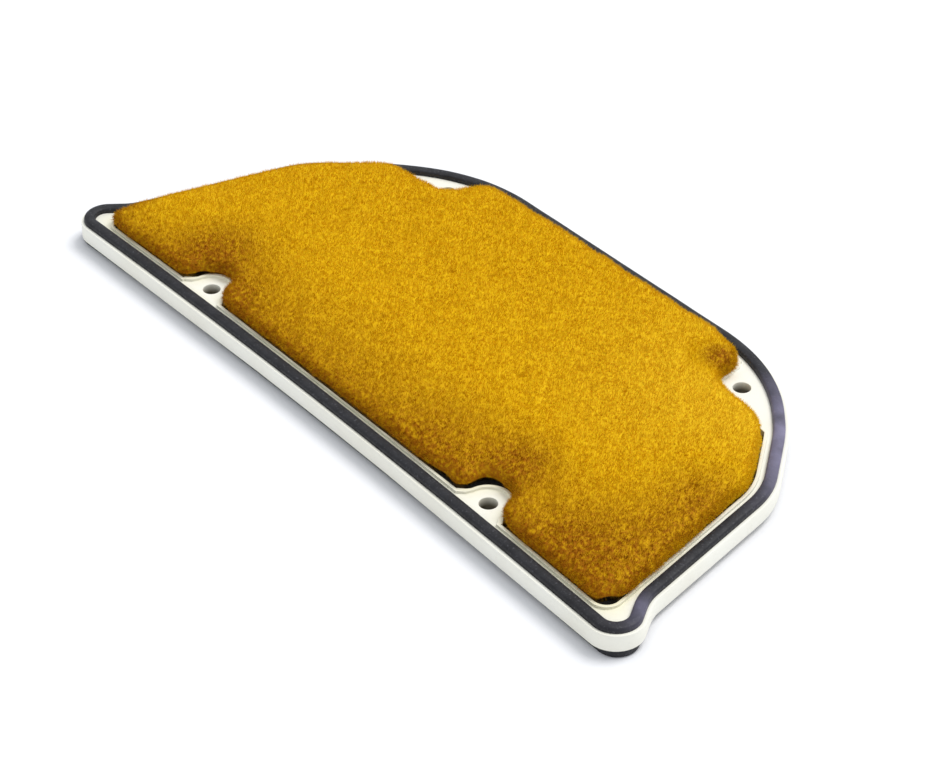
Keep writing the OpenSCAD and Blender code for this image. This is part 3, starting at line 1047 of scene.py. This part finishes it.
def spans(outline, axis, at):
    """Stretches of the line where the axis coordinate is at that lie inside the outline."""
    a, b = outline, np.roll(outline, -1, 0)
    hit = (a[:, axis] > at) != (b[:, axis] > at)
    t = (at - a[hit, axis]) / (b[hit, axis] - a[hit, axis])
    cuts = sorted(a[hit, 1 - axis] + t * (b[hit, 1 - axis] - a[hit, 1 - axis]))
    pieces = list(zip(cuts[::2], cuts[1::2]))
    for place in screw_places():
        off = at - place[axis]
        if abs(off) < BOSS_GAP_R:
            reach = math.sqrt(BOSS_GAP_R ** 2 - off ** 2)
            lo, hi = place[1 - axis] - reach, place[1 - axis] + reach
            cut = []
            for p, q in pieces:
                cut += [(p, min(q, lo)), (max(p, hi), q)]
            pieces = [(p, q) for p, q in cut if q - p > SHORTEST_WIRE]
    return pieces


def wire(axis, row, start, end, middle, swing):
    """A closed tube across an axis that goes over and under the wires it crosses."""
    first, last = math.ceil(start / WIRE_PITCH * 2), math.floor(end / WIRE_PITCH * 2)
    knots = np.arange(first, last + 1) / 2
    along = np.unique(np.concatenate([[start], knots * WIRE_PITCH, [end]]))
    phase = np.cos(math.pi * along / WIRE_PITCH) * (-1) ** (row + axis)
    vertices = []
    for s, p in zip(along, phase):
        for m in range(WIRE_SIDES):
            a = 2 * math.pi * m / WIRE_SIDES
            point = [0.0, 0.0, middle + swing * p + WIRE_R * math.sin(a)]
            point[axis] = row * WIRE_PITCH + WIRE_R * math.cos(a)
            point[1 - axis] = s
            vertices.append(point)
    last_ring = len(vertices) - WIRE_SIDES
    ends = [list(range(WIRE_SIDES)), [last_ring + m for m in reversed(range(WIRE_SIDES))]]
    return vertices, tube_faces(len(along), WIRE_SIDES) + ends


def add_screen():
    """Plain woven wire cloth."""
    outline = opening_outline(SCREEN_TUCK)
    low, high = height_span("wire_screen")
    middle, swing = (low + high) / 2, (high - low) / 2 - WIRE_R
    vertices, faces = [], []
    for axis in (0, 1):
        first = math.ceil(outline[:, axis].min() / WIRE_PITCH)
        last = math.floor(outline[:, axis].max() / WIRE_PITCH)
        for row in range(first, last + 1):
            for start, end in spans(outline, axis, row * WIRE_PITCH + 0.01):
                points, sides = wire(axis, row, start, end, middle, swing)
                faces += [[len(vertices) + v for v in side] for side in sides]
                vertices += points
    screen = new_object("woven_screen", vertices, faces, STEEL)
    rework(screen, outwards=True)
    screen.data.shade_smooth()
    settle(screen, "screen_steel", "wire_screen")


def gap_shade_at(points):
    """Strength of the shade painted in the gaps between the pad and the frame."""
    return np.clip(near_places(points, SET_BACK) * 2, 0, 1)


def add_scrim():
    """The thin, open cloth that lies on the wires, and sags a little between them."""
    outline = softened(evenly(outline_of("backing_scrim"), SOFT_STEP), 1)
    low, high = height_span("backing_scrim")
    plan, _, cells = field(outline, SCRIM_STEP)
    waves = np.cos(2 * math.pi * plan / (4 * WIRE_PITCH))
    z = (low + high) / 2 + SCRIM_WAVE * waves[:, 0] * waves[:, 1]
    scrim = new_object("scrim_cloth", np.column_stack([plan, z]), cells.tolist(), SCRIM, 60)
    store(scrim, "gap_shade", gap_shade_at(plan))
    thick = scrim.modifiers.new("thickness", "SOLIDIFY")
    thick.thickness, thick.offset = SCRIM_T * MM, 0
    settle(scrim, "scrim_cloth", "backing_scrim")
    area_of(outline) * MM * MM


def add_felt():
    """The dense layer under the pad: a slab with rounded, slightly ragged sides."""
    low, high = height_span("dense_felt")
    outline = softened(evenly(outline_of("dense_felt"), SOFT_STEP), 1)
    levels = [
        (0.35, low),
        (0.05, low + 0.4),
        (0.0, (low + high) / 2),
        (0.05, high - 0.5),
        (0.4, high),
    ]
    rings = []
    back = near_places(outline, SET_BACK) * 1.2
    for inset, _ in levels:
        rough = np.abs(rng.normal(0, 0.06, len(outline)))
        depth = inset + rough + back
        rings.append(softened(outline - normals_of(outline) * depth[:, None], 1))
    count = len(outline)
    vertices = np.concatenate(
        [np.column_stack([ring, np.full(count, z)]) for ring, (_, z) in zip(rings, levels)])
    top_ring = (len(rings) - 1) * count
    ends = [list(reversed(range(count))), [top_ring + i for i in range(count)]]
    layer = new_object("felt_layer", vertices, ends + tube_faces(len(rings), count), FELT, 40)
    rework(layer, corners=4)
    store(layer, "gap_shade", gap_shade_at(np.concatenate(rings)))
    settle(layer, "felt", "dense_felt")


# ---------------------------------------------------------------- stage

FLOOR_HALF = 3.0
FLOOR_COLOUR = (0.84, 0.845, 0.87)


def add_floor():
    """A pale, matt floor in the plane that the part stands on."""
    corners = [(-1, -1, 0), (1, -1, 0), (1, 1, 0), (-1, 1, 0)]
    mesh = bpy.data.meshes.new("floor")
    mesh.from_pydata([Vector(c) * FLOOR_HALF for c in corners], [], [(0, 1, 2, 3)])
    floor = bpy.data.objects.new("floor", mesh)
    bpy.context.scene.collection.objects.link(floor)
    n = Nodes("pale_floor")
    n.set(Base_Color=(*FLOOR_COLOUR, 1), Roughness=0.7, Specular_IOR_Level=0.2)
    mesh.materials.append(n.material)


bpy.context.scene.view_settings.view_transform = "Standard"
add_camera()
add_light()
add_shells()
add_upper_seal()
add_lower_seal()
coat_sealant()
add_screen()
add_scrim()
add_felt()
pad_surface = add_pad()
for nap_name in NAP_NAMES:
    add_nap(pad_surface, nap_name, NAP_COUNT)
add_fringe(pad_surface, FRINGE_COUNT)
add_floor()
